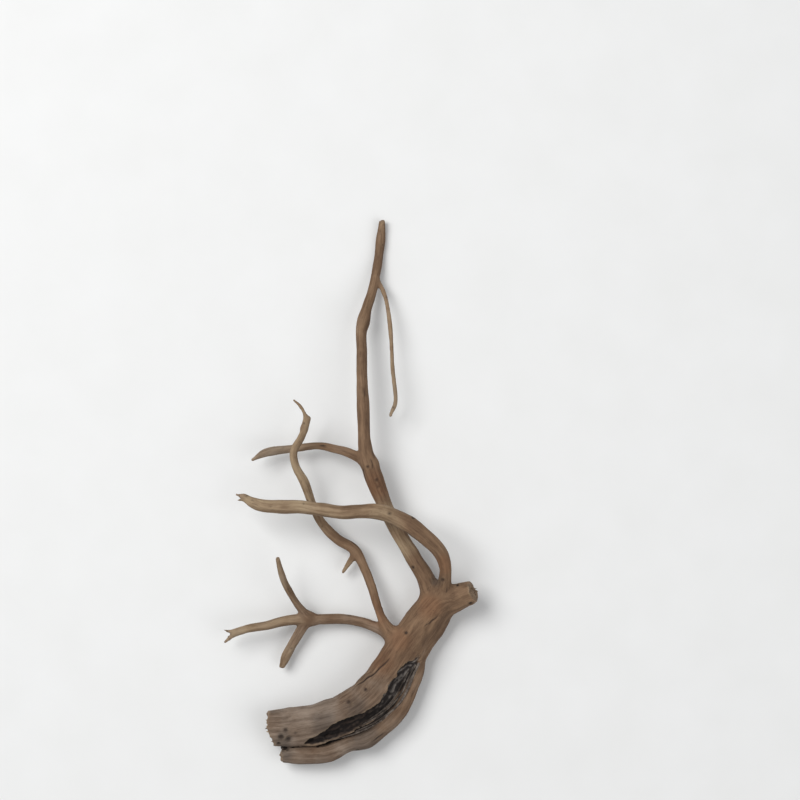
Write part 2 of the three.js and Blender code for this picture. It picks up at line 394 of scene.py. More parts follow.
print(f"long leg: {heart_of(LONG_LEG).length:.1f} mm along its heart")

# %% [markdown]
# ## How each strand grows
# A strand has a weld, the size of the soft crotch where it leaves its neighbours; a tint, how sandy and
# how grey it is at its root and its tip; drying cracks with a depth; and a depth of flutes. A broken one
# has a lead or a tail, which draws it out past the break so that it can be cut there. Legs bleach to
# sand towards their tips; the stump weathers grey.

# %% Every strand with its growth
LEG_FLUTE = 0.07
STUMP_FLUTE = 0.11
BUTT_LEAD = 6.0
STUB_TAIL = 4.0
SNAP = 2.4


def strand(name, points, weld, sand, grey, cracks, depth=0.4, flute=LEG_FLUTE, lead=0.0, tail=0.0):
    """One strand: its heart, and how it grows."""
    made = heart_of(points, lead, tail)
    vars(made).update(
        name=name, weld=weld, sand=sand, grey=grey, cracks=cracks, crack_depth=depth, flute=flute,
        snapped=(lead > 0, tail > 0))
    return made


STRANDS = [
    strand("stump", STUMP, 1.0, (0.1, 0.05), (0.75, 0.15), 20, 0.9, STUMP_FLUTE, BUTT_LEAD, STUB_TAIL),
    strand("flank_root", FLANK_ROOT, 1.0, (0.2, 0.05), (0.7, 0.4), 7, 0.6, lead=SNAP),
    strand("cleft_floor", CLEFT_FLOOR, 0.8, (0.0, 0.0), (0.5, 0.5), 4, 0.5),
    strand("long_leg", LONG_LEG, 3.5, (0.1, 0.2), (0.05, 0.25), 18, tail=SNAP),
    strand("long_leg_hair", LONG_LEG_HAIR, 1.2, (0.3, 0.6), (0.3, 0.5), 0),
    strand("long_leg_arm", LONG_LEG_ARM, 2.4, (0.05, 0.55), (0.2, 0.6), 4),
    strand("arched_leg", ARCHED_LEG, 3.5, (0.08, 0.54), (0.05, 0.15), 14),
    strand("wavy_leg", WAVY_LEG, 2.6, (0.0, 0.6), (0.1, 0.2), 9),
    strand("low_leg", LOW_LEG, 2.6, (0.05, 0.5), (0.45, 0.35), 7),
    *[strand("arched_split", points, 0.6, (0.85, 1.0), (0.1, 0.1), 0) for points in ARCHED_LEG_SPLITS],
    *[strand("wavy_twig", points, 1.4, (0.3, 0.5), (0.2, 0.3), 0, tail=SNAP) for points in WAVY_LEG_TWIGS],
    *[strand("low_fork", points, 1.8, (0.2, 0.5), (0.45, 0.4), 2, tail=SNAP) for points in LOW_LEG_FORKS],
    *[strand("low_split", points, 0.6, (0.7, 0.9), (0.3, 0.2), 0) for points in LOW_LEG_SPLITS],
]
first_sample = np.cumsum([0] + [len(one.heart) for one in STRANDS])
every = SimpleNamespace(**{
    key: np.concatenate([getattr(one, key) for one in STRANDS])
    for key in ("heart", "along", "aside", "lift", "radius", "distance")})
strand_of_sample = np.repeat(np.arange(len(STRANDS)), np.diff(first_sample))
print(f"{len(STRANDS)} strands, {sum(one.length for one in STRANDS):.0f} mm in all")

# %% [markdown]
# ## Seeded noise
# Bare wood is never smooth, so it needs a random but repeatable unevenness. A Displace modifier could
# roughen a mesh, but here the noise is wanted as numbers, before there is a mesh. In lattice noise, each
# corner of a lattice pulls up or down along its own direction, and the pulls are blended. Drawn out
# along the strand, it becomes grain.

# %% Lattice noise
NOISE_SEED = 20
PULL_COUNT = 1024
NOISE_GAIN = 1.6
CELL_KEY = np.array([374761393, 668265263, 2147483647])
SEED_KEY = 144665
SCRAMBLE = 1274126177
pulls = unit(np.random.default_rng(NOISE_SEED).normal(size=(PULL_COUNT, 3))).astype(np.float32)


def lattice_noise(x, y, z, seed=0):
    """Smooth noise from about -1 to 1: the eight corners of the unit cell that a place lies in each
    pull along their own direction by the place's offset from them, blended by an s-shaped ease."""
    places = np.stack([x, y, z], 1).astype(np.float32)
    cell = np.floor(places).astype(np.int64)
    inside = places - cell
    ease = inside ** 3 * (inside * (inside * 6 - 15) + 10)
    total = np.zeros(len(places), np.float32)
    for corner in np.ndindex(2, 2, 2):
        key = (cell + corner) @ CELL_KEY + SEED_KEY * seed
        key = (key ^ (key >> 13)) * SCRAMBLE
        pull = pulls[(key ^ (key >> 16)) % PULL_COUNT]
        weight = np.where(corner, ease, 1 - ease).prod(1)
        total += weight * ((inside - np.array(corner, np.float32)) * pull).sum(1)
    return NOISE_GAIN * total


def grain_noise(place, cells, seed):
    """Noise at places in a strand, given along, aside and above, with cells so long and so wide."""
    run, aside, above = place
    long, wide = cells
    return lattice_noise(run / long, aside / wide, above / wide, seed)


trial = lattice_noise(*np.random.default_rng(1).uniform(-50, 50, (3, 20000)))
print(f"noise from {trial.min():.2f} to {trial.max():.2f}")

# %% [markdown]
# ## Twig scars and pits
# Where small twigs broke off, a low collar is left with a dark eye in it, and the old butt has holes.
# They could be sculpted, but bells added to the skin's height can be drawn by number. A few are seen
# clearly and are listed by their plan and size; the rest are strewn over the strands by a seeded
# draw, larger on thicker wood.

# %% Scars
SEEN_PITS = np.array([
    [16, -8.4, 1.3], [38.2, -36.8, 1.5], [6.8, 10.5, 1.1], [23, -59, 1.4], [6, -82.5, 1.3],
    [-30.5, -105.2, 1.7], [-29.4, -102.6, 2], [-27.5, -99.7, 1.6], [-26.3, -103.8, 1.9],
    [-23.4, -101.2, 1.2], [-27.8, -108.3, 1.5],
])
STREWN_SCARS = 54
SCAR_SEED = 7
SCAR_SHARE = 0.34
SCAR_SPREAD = 0.8, 1.3
SCAR_SIZES = 0.7, 1.7
SCAR_COLLARS = 0.2, 0.75
SCAR_EYE = 0.85
SEEN_COLLAR = 0.25


def seen_scars():
    """The listed pits, each on top of the wood. With a ball round every step of the hearts, that
    is the highest of the balls' middles plus the root of the radius squared less the way to it squared."""
    x, y, size = SEEN_PITS.T
    way = (every.heart[:, 0] - x[:, None]) ** 2 + (every.heart[:, 1] - y[:, None]) ** 2
    rise = np.sqrt(np.maximum(every.radius ** 2 - way, 0))
    top = np.where(rise > 0, every.heart[:, 2] + rise, 0).max(1)
    return np.column_stack([x, y, top, size, np.full(len(x), SEEN_COLLAR)])


def strewn_scars():
    """Places on the strands' skins with a size each: a random step along, a random angle round."""
    draw = np.random.default_rng(SCAR_SEED)
    pick = draw.choice(len(every.heart), STREWN_SCARS, replace=False)
    angle = draw.uniform(-np.pi, np.pi, STREWN_SCARS)[:, None]
    across = np.sin(angle) * every.aside[pick] + np.cos(angle) * every.lift[pick]
    place = every.heart[pick] + every.radius[pick][:, None] * across
    size = np.clip(SCAR_SHARE * every.radius[pick] * draw.uniform(*SCAR_SPREAD, STREWN_SCARS), *SCAR_SIZES)
    collar = draw.uniform(*SCAR_COLLARS, STREWN_SCARS)
    return np.column_stack([place, size, collar])


SCARS = np.vstack([seen_scars(), strewn_scars()])


def scar_shape(places):
    """Standing out and darkness of the scars at some places: for each scar a bell of its size for the
    collar, less a bell half as wide for the eye. The darkness is a bell a little wider than the eye."""
    rise, dark = np.zeros((2, len(places)))
    for x, y, z, size, collar in SCARS:
        square = ((places - (x, y, z)) ** 2).sum(1) / size ** 2
        rise += size * (collar * np.exp(-square) - SCAR_EYE * np.exp(-4 * square))
        dark += np.exp(-3 * square)
    return rise, np.minimum(dark, 1)


print(len(SCARS), "scars and pits")

# %% [markdown]
# ## The skin's relief
# A strand is no round rod. Shallow flutes wind along it, as in the solid; swells and dents lie over
# them; grain runs lengthwise; and drying has opened cracks, which follow the grain for a while. All are
# heights above the smooth strand, so they add up.

# %% Relief of a strand
FLUTES = ((2, 0.6, 1.1), (3, 0.4, 1.1))
FLUTE_TWIST = 0.008
SWELL_BASE = 0.1
SWELL_SHARE = 0.09
SWELL_CELLS = 13, 7
DENT_CELLS = 5.5, 3.6
GRAIN_HEIGHT = 0.12
GRAIN_CELLS = 17, 1.5
CRACK_HALF_WIDTH = 0.62
CRACK_WANDER = 0.5
WANDER_LENGTH = 4
CRACK_REACH = 0.4, 1.3
CRACK_STRENGTH = 0.5, 1.0
CRACK_SLANT = 0.03
CRACK_CROWDING = 1.5


def soft_step(value, low, high):
    """0 below the low value, 1 above the high one, with an even s-curve between them."""
    share = np.clip((value - low) / (high - low), 0, 1)
    return share * share * (3 - 2 * share)


def flute_share(angle, run):
    """Share of the radius added by the flutes: cosines round the strand, turning slowly along it."""
    turned = angle - FLUTE_TWIST * run
    return sum(height * np.cos(lobes * (turned - crest)) for lobes, height, crest in FLUTES)


def crack_share(one, run, angle, radius, seed):
    """How far inside a drying crack a place is, from 0 to 1: a ridge across the crack's wandering line,
    times a low arch along its length. The cracks are drawn at random, and crowd to the strand's old end."""
    draw = np.random.default_rng(seed)
    wander = CRACK_WANDER * lattice_noise(run / WANDER_LENGTH, 0 * run, 0 * run, seed)
    deepest = np.zeros(len(run))
    for _ in range(one.cracks):
        middle = one.length * draw.uniform() ** CRACK_CROWDING
        bearing = draw.uniform(-np.pi, np.pi)
        reach = draw.uniform(*CRACK_REACH) * (1.5 + np.interp(middle, one.distance, one.radius))
        strength = draw.uniform(*CRACK_STRENGTH)
        ahead = run - middle
        turn = np.mod(angle - bearing - CRACK_SLANT * ahead + np.pi, 2 * np.pi) - np.pi
        across = np.clip(1 - np.abs(radius * turn + wander) / CRACK_HALF_WIDTH, 0, 1)
        deepest = np.maximum(deepest, strength * across * np.clip(1 - (ahead / reach) ** 2, 0, 1))
    return deepest


def skin_relief(one, place, radius, seed):
    """Height of the skin over the smooth strand: swells as a share of the radius, grain as noise drawn
    out lengthwise, less the cracks."""
    run, aside, above = place
    swell = grain_noise(place, SWELL_CELLS, seed) + 0.5 * grain_noise(place, DENT_CELLS, seed + 1)
    grain = grain_noise(place, GRAIN_CELLS, seed + 2)
    crack = crack_share(one, run, np.arctan2(aside, above), radius, seed)
    return (SWELL_BASE + SWELL_SHARE * radius) * swell + GRAIN_HEIGHT * grain - one.crack_depth * crack


print("cracks:", sum(one.cracks for one in STRANDS))

# %% [markdown]
# ## Growing the strands together
# Swept tubes would be the usual way, but they cross in hard creases. Here each profile carried along its
# path is a field instead: at every point of a fine grid, how far it is outside the strand. The smaller
# of two fields joins two strands, and a soft minimum rounds the crotch between them as wood does.

# %% The grid
GRID_STEP = 0.5
GRID_MARGIN = 3.0
OUTSIDE = 20.0

root_low, root_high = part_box("spiderwood_root")
grid_low = np.array(root_low) / MM - GRID_MARGIN
grid_high = np.array(root_high) / MM + GRID_MARGIN
grid_shape = tuple(np.ceil((grid_high - grid_low) / GRID_STEP).astype(int))
grid_axes = [low + GRID_STEP * np.arange(count) for low, count in zip(grid_low, grid_shape)]
print("grid", grid_shape, "of", GRID_STEP, "mm")


# %% Grid points near a strand
REACH_SHARE = 1.25
REACH_MARGIN = 2.8


def nearest_samples(one):
    """The grid points near a strand, and the step of its heart that each is nearest to: every step in
    turn claims the points of the block round it that no earlier step is nearer to."""
    gap = np.full(grid_shape, np.inf, np.float32)
    nearest = np.zeros(grid_shape, np.int32)
    reach = REACH_SHARE * one.radius + REACH_MARGIN
    low = np.maximum(((one.heart - reach[:, None] - grid_low) / GRID_STEP).astype(int), 0)
    high = np.minimum(((one.heart + reach[:, None] - grid_low) / GRID_STEP).astype(int) + 2, grid_shape)
    for index, centre in enumerate(one.heart):
        block = tuple(slice(*ends) for ends in zip(low[index], high[index]))
        x, y, z = ((axis[part] - middle) ** 2 for axis, part, middle in zip(grid_axes, block, centre))
        square = (x[:, None, None] + y[:, None] + z).astype(np.float32)
        nearer = square < gap[block]
        gap[block][nearer] = square[nearer]
        nearest[block][nearer] = index
    points = np.flatnonzero(np.isfinite(gap))
    return points, nearest.ravel()[points]


def grid_places(points):
    """Where grid points lie, from their numbers."""
    return np.stack([axis[part] for axis, part in zip(grid_axes, np.unravel_index(points, grid_shape))], 1)


def ring_place(one, places, step):
    """Where places lie in the rings of a strand: distance along it, aside, above, and away from its
    heart. Beyond an end, the way past it counts as away, which rounds the tip."""
    offset = places - one.heart[step]
    forward = np.clip((offset * one.along[step]).sum(1), -HEART_STEP, HEART_STEP)
    rest = offset - forward[:, None] * one.along[step]
    aside = (rest * one.aside[step]).sum(1)
    above = (rest * one.lift[step]).sum(1)
    return one.distance[step] + forward, aside, above, np.linalg.norm(rest, axis=1)


print("near the stump:", len(nearest_samples(STRANDS[0])[0]), "grid points")

# %% Broken ends
BUTT_WAVES = ((1, 1.8, -0.9), (3, 0.8, -0.15))
BUTT_HOLLOW = 1.6
BUTT_REACH = 1.2
STUB_REACH = 1.2
SPLINTER_HEIGHT = 1.3
SPLINTER_WIDTHS = 2.7, 1.2
SPLINTER_BEND = 4.0
RIM_CALM = 0.6
SNAP_SPLINTER = 1.5
TIP_SHARE = 0.6


def soft_larger(first, second, wear):
    """The larger of two fields, rounded off over the wear: where they are equal it is a quarter of the
    wear higher than both, which dulls the edge between two cuts."""
    share = np.clip(0.5 + 0.5 * (second - first) / wear, 0, 1)
    return first + share * (second - first) + wear * share * (1 - share)


def snapped_ends(one, run, aside, above):
    """How far places are beyond the snapped ends of a strand, which splinter in columns of noise."""
    start, end = one.snapped
    columns = lattice_noise(aside / SNAP_SPLINTER, above / SNAP_SPLINTER, 0 * run, seed=43)
    splinters = one.radius.mean() / 2 * columns
    tip = one.length + TIP_SHARE * one.radius[-1]
    before = np.where(start, splinters - run, -OUTSIDE)
    return np.maximum(before, np.where(end, run - tip - splinters, -OUTSIDE))


def broken_stump(run, aside, above, share, length):
    """How far places are beyond the stump's two broken ends. The butt's break is a few waves round the
    rim, sunk in the middle; on both ends splinters stand up as columns of noise, calmer at the rim."""
    angle = np.arctan2(aside, above)
    wave = sum(height * np.cos(lobes * (angle - crest)) for lobes, height, crest in BUTT_WAVES)
    thick, thin = SPLINTER_WIDTHS
    bend = lattice_noise(aside / SPLINTER_BEND, above / SPLINTER_BEND, 0 * run, seed=42)
    coarse = lattice_noise(aside / thick + bend, above / thick, 0 * run, seed=40)
    fine = lattice_noise(aside / thin, above / thin + bend, 0 * run, seed=41)
    columns = SPLINTER_HEIGHT * (coarse + 0.6 * fine) * (1 - RIM_CALM * np.minimum(share, 1) ** 3)
    butt = BUTT_HOLLOW * (1 - share) - wave * share - columns - BUTT_REACH
    stub = length + STUB_REACH + columns
    return np.maximum(butt - run, run - stub)


print("broken ends:", sum(sum(one.snapped) for one in STRANDS))

# %% The field of one strand
RELIEF_BAND = 2.6
BUTT_WEAR = 0.9
SNAP_WEAR = 0.7


def strand_field(one, seed):
    """How far each grid point near a strand is outside its skin: the distance from its heart less the
    fluted radius and the relief, with broken ends cut off."""
    points, step = nearest_samples(one)
    places = grid_places(points)
    run, aside, above, away = ring_place(one, places, step)
    angle = np.arctan2(aside, above)
    radius = np.interp(run, one.distance, one.radius)
    skin = radius * (1 + one.flute * flute_share(angle, run))
    close = np.flatnonzero(np.abs(away - skin) < RELIEF_BAND)
    level = (skin / np.maximum(away, 0.2))[close]
    place = run[close], aside[close] * level, above[close] * level
    skin[close] += skin_relief(one, place, radius[close], seed) + scar_shape(places[close])[0]
    field = away - skin
    if one.name == "stump":
        broken = broken_stump(run, aside, above, away / radius, one.length)
        field = soft_larger(field, broken, BUTT_WEAR)
    elif any(one.snapped):
        field = soft_larger(field, snapped_ends(one, run, aside, above), SNAP_WEAR)
    return points, step, field


print("one split tip:", int((strand_field(STRANDS[-1], 0)[2] < 0).sum()), "grid points of wood")

# %% [markdown]
# ## The cleft
# The stump's shoulder above the flank root has rotted away to a stringy hollow, dark with rot and with
# painted shade that deepens inside it. A boolean could cut it, but with a sharp rim. Here it is one more
# strand, of air: the larger of the stump's field and the hollow's turned inside out takes it away, before
# the flank root joins. Fibres were left standing in it, so its skin is ridged lengthwise.

# %% The hollow of the cleft
HOLLOW_NOISE = ((0.7, (22, 1.3)), (0.9, (4.5, 3)), (0.35, (1.7, 1.1)))
HOLLOW_SEED = 60
HOLLOW_EDGE = 0.5


def hollow_field():
    """How far grid points are outside the hollow: the distance from its heart less its radius, and less
    three noises, which ridge it lengthwise, make it ragged in patches and chip it."""
    hollow = heart_of(CLEFT_HOLLOW)
    points, step = nearest_samples(hollow)
    run, aside, above, away = ring_place(hollow, grid_places(points), step)
    radius = np.interp(run, hollow.distance, hollow.radius)
    level = radius / np.maximum(away, 0.5)
    place = run, aside * level, above * level
    field = away - radius
    for number, (height, cells) in enumerate(HOLLOW_NOISE):
        field -= height * grain_noise(place, cells, HOLLOW_SEED + number)
    return points, field


def volume(field):
    """Cubic centimetres inside a field: its grid points below zero times the size of a grid cell."""
    return (field < 0).sum() * GRID_STEP ** 3 / 1000


hollow_at = np.full(grid_shape, OUTSIDE, np.float32).ravel()
points, field = hollow_field()
hollow_at[points] = field
print(f"hollow: {volume(hollow_at):.2f} cubic centimetres of air")

# %% Weld the strands
def soft_smaller(first, second, weld):
    """The smaller of two fields, rounded off over the weld: the soft larger one, turned inside out."""
    return -soft_larger(-first, -second, weld)


SEED_STEP = 100
wood = np.full(grid_shape, OUTSIDE, np.float32).ravel()
unhollowed = wood.copy()
closest = wood.copy()
owner = np.zeros(wood.shape, np.int32)
for number, one in enumerate(STRANDS):
    points, step, field = strand_field(one, SEED_STEP * number)
    if one.name == "stump":
        unhollowed[points] = field
        field = soft_larger(field, -hollow_at[points], HOLLOW_EDGE)
    wood[points] = soft_smaller(wood[points], field, one.weld)
    nearer = field < closest[points]
    closest[points[nearer]] = field[nearer]
    owner[points[nearer]] = first_sample[number] + step[nearer]
unhollowed, hollow_at, owner = (part.reshape(grid_shape) for part in (unhollowed, hollow_at, owner))
wood = np.maximum(wood.reshape(grid_shape), -grid_axes[2])
print(f"wood: {volume(wood):.2f} cubic centimetres")

# %% [markdown]
# ## From field to skin
# The skin is where the field is zero. A Remesh modifier finds such a skin too, but only from a mesh. Here
# surface nets find it: each grid cell that the skin passes through gets one point, and each grid edge
# that it crosses gets one four-sided face, all at once with arrays.

# %% Fill the pinches
PINCH_FILL = -0.02


def fill_pinches(field):
    """Where two facing corners of a grid square are wood and the other two are air, the skin would
    pinch into an edge with four faces. One corner of air there is made wood until none is left."""
    pinched = True
    while pinched:
        pinched = False
        for one_way, other_way in ((0, 1), (1, 2), (2, 0)):
            view = np.moveaxis(field, (one_way, other_way), (0, 1))
            low, right, up, far = view[:-1, :-1], view[1:, :-1], view[:-1, 1:], view[1:, 1:]
            fall = (low < 0) & (far < 0) & (right >= 0) & (up >= 0)
            rise = (right < 0) & (up < 0) & (low >= 0) & (far >= 0)
            right[fall] = PINCH_FILL
            low[rise] = PINCH_FILL
            pinched |= bool(fall.any() or rise.any())


before = volume(wood)
fill_pinches(wood)
print(f"pinches: {1000 * (volume(wood) - before):.1f} cubic millimetres filled")

# %% Surface nets
CORNERS = np.array(list(np.ndindex(2, 2, 2)))
EDGES = [(a, b) for a in range(8) for b in range(a + 1, 8) if np.abs(CORNERS[a] - CORNERS[b]).sum() == 1]


def net_points(field):
    """One point in each cell that the skin passes through: the mean of the places where the field
    passes through zero on the cell's twelve edges."""
    inside = field < 0
    size = np.array(field.shape) - 1
    blocks = [tuple(slice(low, low + side) for low, side in zip(corner, size)) for corner in CORNERS]
    count = sum(inside[block].astype(np.int8) for block in blocks)
    mixed = (count > 0) & (count < 8)
    cells = np.argwhere(mixed)
    value = np.stack([field[tuple((cells + corner).T)] for corner in CORNERS], 1)
    total = np.zeros((len(cells), 3))
    crossings = np.zeros(len(cells))
    for a, b in EDGES:
        crosses = (value[:, a] < 0) != (value[:, b] < 0)
        gap = np.where(crosses, value[:, a] - value[:, b], 1)
        place = CORNERS[a] + (value[:, a] / gap)[:, None] * (CORNERS[b] - CORNERS[a])
        total += crosses[:, None] * place
        crossings += crosses
    number = np.full(mixed.shape, -1)
    number[mixed] = np.arange(len(cells))
    return grid_low + GRID_STEP * (cells + total / crossings[:, None]), number


def net_faces(field, number):
    """One face for each grid edge that the skin crosses, through the points of the four cells round
    that edge, turned so that it looks from the inside to the outside."""
    inside = field < 0
    faces = []
    for axis in range(3):
        side, top = np.eye(3, dtype=int)[[(axis + 1) % 3, (axis + 2) % 3]]
        here = np.moveaxis(inside, axis, 0)
        edges = np.argwhere(np.moveaxis(here[:-1] != here[1:], 0, axis))
        ring = [number[tuple((edges - shift).T)] for shift in (side + top, top, 0 * top, side)]
        quads = np.stack(ring, 1)
        leaving = inside[tuple(edges.T)]
        faces.append(np.where(leaving[:, None], quads, quads[:, ::-1]))
    return np.vstack(faces)


points, number = net_points(wood)
faces = net_faces(wood, number)
print(len(points), "points,", 2 * len(faces), "triangles")

# %% Put the skin into a mesh
def piece(name, points, faces):
    """A mesh object at the origin from points in millimetres and faces, shaded smooth."""
    mesh = bpy.data.meshes.new(name)
    mesh.from_pydata((points * MM).tolist(), [], faces)
    mesh.shade_smooth()
    made = bpy.data.objects.new(name, mesh)
    scene.collection.objects.link(made)
    return made


root_skin = piece("root_skin", points, faces.tolist())
edges = np.sort(np.vstack([faces[:, [side, (side + 1) % 4]] for side in range(4)]), 1)
edges, uses = np.unique(edges, axis=0, return_counts=True)
print("edges:", len(edges), "of which not shared by two faces:", int((uses != 2).sum()))

# %% [markdown]
# ## What the skin knows about itself
# Grain follows each bending leg, which no flat pattern does. So every point carries where it lies in its
# strand: along, aside and above. It also carries masks: how sandy, grey, warm, dark or torn the wood is,
# and how far it stands out or lies in a hollow.

# %% Where each point lies in its strand
SEAM_GAIN = 1.6
SEAM_ROUNDS = 4
CREST_ROUNDS = 3
BULK_ROUNDS = 40

cell = tuple(np.rint((points - grid_low) / GRID_STEP).astype(int).T)
sample = owner[cell]
skin_strand = strand_of_sample[sample]
run, aside, above, away = ring_place(every, points, sample)
angle = np.arctan2(aside, above)
skin_radius = every.radius[sample]


def spread(values, rounds):
    """Values evened out over the mesh: each round, a point takes the mean of itself and of the mean of
    the points it shares an edge with."""
    shape = (-1,) + (1,) * (values.ndim - 1)
    count = np.bincount(edges.ravel(), minlength=len(points)).reshape(shape)
    for _ in range(rounds):
        total = np.zeros_like(values)
        np.add.at(total, edges[:, 0], values[edges[:, 1]])
        np.add.at(total, edges[:, 1], values[edges[:, 0]])
        values = 0.5 * values + 0.5 * total / count
    return values


crosses = skin_strand[edges[:, 0]] != skin_strand[edges[:, 1]]
seam = np.zeros(len(points))
seam[edges[crosses].ravel()] = 1
seam = np.minimum(SEAM_GAIN * spread(seam, SEAM_ROUNDS), 1)
normals = np.zeros(3 * len(points), np.float32)
root_skin.data.vertices.foreach_get("normal", normals)
normals = normals.reshape(-1, 3)
crest = ((points - spread(points, CREST_ROUNDS)) * normals).sum(1)
bulk = ((points - spread(points, BULK_ROUNDS)) * normals).sum(1)
for name, values in (("crest", crest), ("bulk", bulk)):
    print(f"{name} from {values.min():.2f} to {values.max():.2f} mm")

# %% Patches, cracks and tears
WARM_PATCHES = ((33, -48, 6), (12.8, -71.2, 6), (21, -62, 5), (39, -30, 5), (10, 2, 8), (11, -50, 7))
# Stains, and spots of painted shade: the one at the foot of the arched leg paints the shadow in the gap
# between it and the long leg.
STAINS_AND_PAINTED_SHADE = (
    (-28.4, -103, 3.5), (-28.5, -110.5, 4), (-12, -97, 6), (35.4, -37.6, 3), (2, -91, 6), (6, -105.5, 9))
PALE_PATCHES = ((14, -8.6, 9), (-21.6, -5.7, 11), (-44.7, -57.3, 7), (22, -23.7, 6))
TINT_SPAN = 0.2, 0.8
BUTT_TORN = -0.6, -0.15
SNAP_TORN = -0.5, -0.1
SPLIT_TORN = 2.0, 5.0


def along_strand(name):
    """A strand's tint at each point: its value at the root going over to that at the tip."""
    tint = np.array([getattr(one, name) for one in STRANDS])[skin_strand]
    length = np.array([one.length for one in STRANDS])[skin_strand]
    share = soft_step(run / length, *TINT_SPAN)
    return tint[:, 0] + share * (tint[:, 1] - tint[:, 0])


def patches(spots):
    """Bells round spots in plan, each with its own size, added up to one at most."""
    x, y = points[:, 0], points[:, 1]
    bells = sum(np.exp(-((x - left) ** 2 + (y - low) ** 2) / size ** 2) for left, low, size in spots)
    return np.clip(bells, 0, 1)


def cracked_and_torn():
    """How far inside a crack each point is, and how torn it is: on the stump and the snapped strands by
    how near it is to the break, on the split tips by how far along it is."""
    cracked, torn = np.zeros((2, len(points)))
    for number, one in enumerate(STRANDS):
        here = np.flatnonzero(skin_strand == number)
        place = run[here], aside[here], above[here]
        cracked[here] = crack_share(one, run[here], angle[here], skin_radius[here], SEED_STEP * number)
        if one.name == "stump":
            share = away[here] / skin_radius[here]
            torn[here] = soft_step(broken_stump(*place, share, one.length), *BUTT_TORN)
        elif any(one.snapped):
            torn[here] = soft_step(snapped_ends(one, *place), *SNAP_TORN)
        elif one.name.endswith("split"):
            torn[here] = soft_step(run[here], *SPLIT_TORN)
    return cracked, torn


cracked, torn = cracked_and_torn()
print(int((cracked > 0).sum()), "points in cracks,", int((torn > 0).sum()), "on breaks")

# %% Colour masks
PALE_SHARE = 0.68
SAND_ROUNDS = 12
GREY_ROUNDS = 16
DARK_ROUNDS = 2
CLEFT_FADE = 0.25, 0.95
CLEFT_DEPTH = -0.2, 2.0
FACING_UP = 0, 0.5
STRINGY_SPAN = 6, 20
CREST_SPAN = 0.24
BULK_SPAN = 2.4
STRAND_SHIFT = 300.0

strand_names = np.array([one.name for one in STRANDS])[skin_strand]
split_tip = np.char.endswith(strand_names, "split")
in_hollow = 1 - soft_step(hollow_at[cell], *CLEFT_FADE)
# Painted shade in the cleft: darker the deeper a point lies below the stump's skin before the hollow was
# cut, and on the upward faces of the cleft's floor.
hidden = in_hollow * soft_step(-unhollowed[cell], *CLEFT_DEPTH)
floor_top = (strand_names == "cleft_floor") * soft_step(normals[:, 2], *FACING_UP)
masks = {
    "sandy": np.maximum(spread(along_strand("sand"), SAND_ROUNDS), PALE_SHARE * patches(PALE_PATCHES)),
    "grey": spread(along_strand("grey"), GREY_ROUNDS),
    "warm": patches(WARM_PATCHES),
    "stained": patches(STAINS_AND_PAINTED_SHADE),
    "dark": spread(np.maximum(hidden, floor_top), DARK_ROUNDS),
    "stringy": spread(in_hollow * soft_step(points[:, 0], *STRINGY_SPAN), DARK_ROUNDS),
    "scar": scar_shape(points)[1],
    "crack": cracked,
    "torn": spread(torn, 1),
    "seam": seam,
    "crest": np.clip(0.5 + crest / CREST_SPAN, 0, 1),
    "bulk": np.clip(0.5 + bulk / BULK_SPAN, 0, 1),
}


def carry(made, name, values):
    """Puts one number, or three, for each point of a piece into its mesh under a name."""
    kind = "FLOAT" if values.ndim == 1 else "FLOAT_VECTOR"
    store = made.data.attributes.new(name, kind, "POINT")
    store.data.foreach_set("value" if values.ndim == 1 else "vector", values.astype(np.float32).ravel())


for name, values in masks.items():
    carry(root_skin, name, values)
carry(root_skin, "grain", np.column_stack([run + STRAND_SHIFT * skin_strand, aside, above]))
print({name: round(float(values.mean()), 2) for name, values in masks.items()})

# %% [markdown]
# ## The wood's finish
# Weathered root is brown, sandy where it has bleached, grey where it is old and nearly black in its
# clefts, where rot is deepened by painted shade. Crests get a painted highlight, hollows painted shade,
# and stains with painted shade darken a few patches. A wrapped picture would show seams at every fork. So
# the masks choose the colour, and streaks along the grain, cloudy stains and fine fibres break it up.

# %% Colours of the wood
BROWN = (84, 63, 47), (129, 102, 77)
SAND = (120, 99, 76), (164, 145, 117)
GREY = (84, 72, 62), (134, 121, 109)
ORANGE = (88, 59, 40), (126, 88, 60)
# One colour for real stains and for painted shade.
STAIN_AND_SHADE = (50, 43, 38), (88, 79, 72)
FRESH_BREAK = (70, 56, 46), (150, 128, 105)
# Black rot of the cleft, laid on by a mask that adds painted shade growing with the depth of the hollow.
BLACK_ROT_AND_SHADE = (26, 20, 17), (58, 47, 40)
STRINGY_ROT = (50, 44, 41), (134, 126, 119)
# A painted highlight for the crests, and painted shade for small and broad hollows.
PAINTED_CREST_HIGHLIGHT = (160, 138, 109)
PAINTED_HOLLOW_SHADE = (50, 38, 30)
BROAD_SHADE = (52, 42, 35)
DASH = (60, 46, 36)
SPECK = (58, 44, 34)
DEEP = (40, 30, 24)
print("palest sand as light:", [round(part, 3) for part in linear(*SAND[1])])

# %% Root wood
STREAK_CELLS = 0.05, 0.75, 0.75
FIBRE_CELLS = 0.3, 4.2, 4.2
DASH_CELLS = 0.3, 2.2, 2.2


